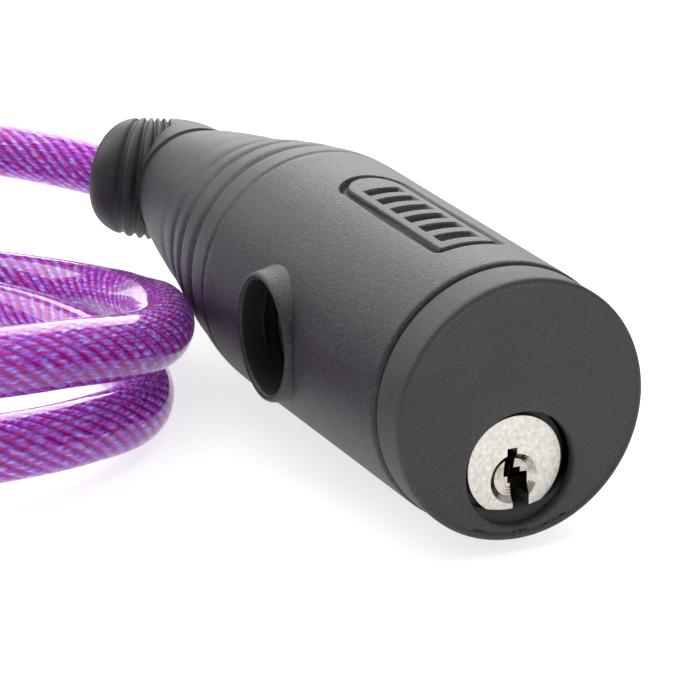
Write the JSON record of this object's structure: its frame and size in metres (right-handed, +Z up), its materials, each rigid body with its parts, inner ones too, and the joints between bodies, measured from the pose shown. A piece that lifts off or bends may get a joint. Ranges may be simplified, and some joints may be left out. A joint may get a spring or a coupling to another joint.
{
  "type": "bicycle cable lock",
  "caption": "Key-operated cable lock: round barrel with a wafer cylinder, side socket and a coiled sheathed steel cable ending in a locking pin.",
  "frame": {"origin": "centre of the barrel's footprint on the surface it lies on", "axes": "+X towards the key face along the barrel, +Z up, the socket opens towards -Y"},
  "size_m": [0.1358, 0.1361, 0.0328],
  "materials": {
    "textured_plastic": "fine grained",
    "cap_plastic": "fine matte",
    "boot_rubber": "matte",
    "seal_rubber": "matte",
    "nickel": "brushed nickel",
    "zinc": "die cast",
    "steel": "machined",
    "brass": "stamped",
    "violet_sheath": "clear violet over steel strand"
  },
  "bodies": {
    "root": {"barrel_cover": "textured_plastic", "end_cap": "cap_plastic", "cap_seal": "seal_rubber", "lock_core": "zinc", "core_screws": "steel", "cap_pins": "steel", "socket_liner": "steel", "cylinder_housing": "zinc", "latch_spring": "steel", "latch_cover": "zinc", "cover_screws": "steel", "cable_ferrule": "steel", "ferrule_pin": "steel", "cable_boot": "boot_rubber", "cable_lead": "violet_sheath", "cable_coil": "violet_sheath", "cable_tail": "violet_sheath", "plug_sleeve": "textured_plastic", "plug_ferrule": "steel", "locking_pin": "nickel"},
    "rotor": {"rotor": "nickel", "rotor_clip": "steel", "drive_pin": "steel", "wafer_spring_1": "steel", "wafer_spring_2": "steel", "wafer_spring_3": "steel", "wafer_spring_4": "steel", "wafer_spring_5": "steel"},
    "latch": {"latch": "steel"},
    "wafer_1": {"wafer_1": "brass"},
    "wafer_2": {"wafer_2": "brass"},
    "wafer_3": {"wafer_3": "brass"},
    "wafer_4": {"wafer_4": "brass"},
    "wafer_5": {"wafer_5": "brass"}
  },
  "joints": [
    {"name": "rotor_turn", "type": "hinge", "parent": "root", "child": "rotor", "pos_m": [0.04, 0, 0.0097], "axis": [1, 0, 0], "range_deg": [0, 90]},
    {"name": "latch_slide", "type": "slide", "parent": "root", "child": "latch", "axis": [0, 0, -1], "range_m": [0, 0.0022], "stiffness_N_per_m": 400, "springref_m": 0.0032, "deforming": ["latch_spring"]},
    {"name": "wafer_1_slide", "type": "slide", "parent": "rotor", "child": "wafer_1", "axis": [0, 0, -1], "range_m": [0, 0.0005], "stiffness_N_per_m": 30, "deforming": ["wafer_spring_1"]},
    {"name": "wafer_2_slide", "type": "slide", "parent": "rotor", "child": "wafer_2", "axis": [0, 0, -1], "range_m": [0, 0.0005], "stiffness_N_per_m": 30, "deforming": ["wafer_spring_2"]},
    {"name": "wafer_3_slide", "type": "slide", "parent": "rotor", "child": "wafer_3", "axis": [0, 0, -1], "range_m": [0, 0.0005], "stiffness_N_per_m": 30, "deforming": ["wafer_spring_3"]},
    {"name": "wafer_4_slide", "type": "slide", "parent": "rotor", "child": "wafer_4", "axis": [0, 0, -1], "range_m": [0, 0.0005], "stiffness_N_per_m": 30, "deforming": ["wafer_spring_4"]},
    {"name": "wafer_5_slide", "type": "slide", "parent": "rotor", "child": "wafer_5", "axis": [0, 0, -1], "range_m": [0, 0.0005], "stiffness_N_per_m": 30, "deforming": ["wafer_spring_5"]}
  ],
  "couplings": [
    {"joint": "rotor_turn", "follows": "latch_slide", "rad_per_m": 713.99}
  ]
}
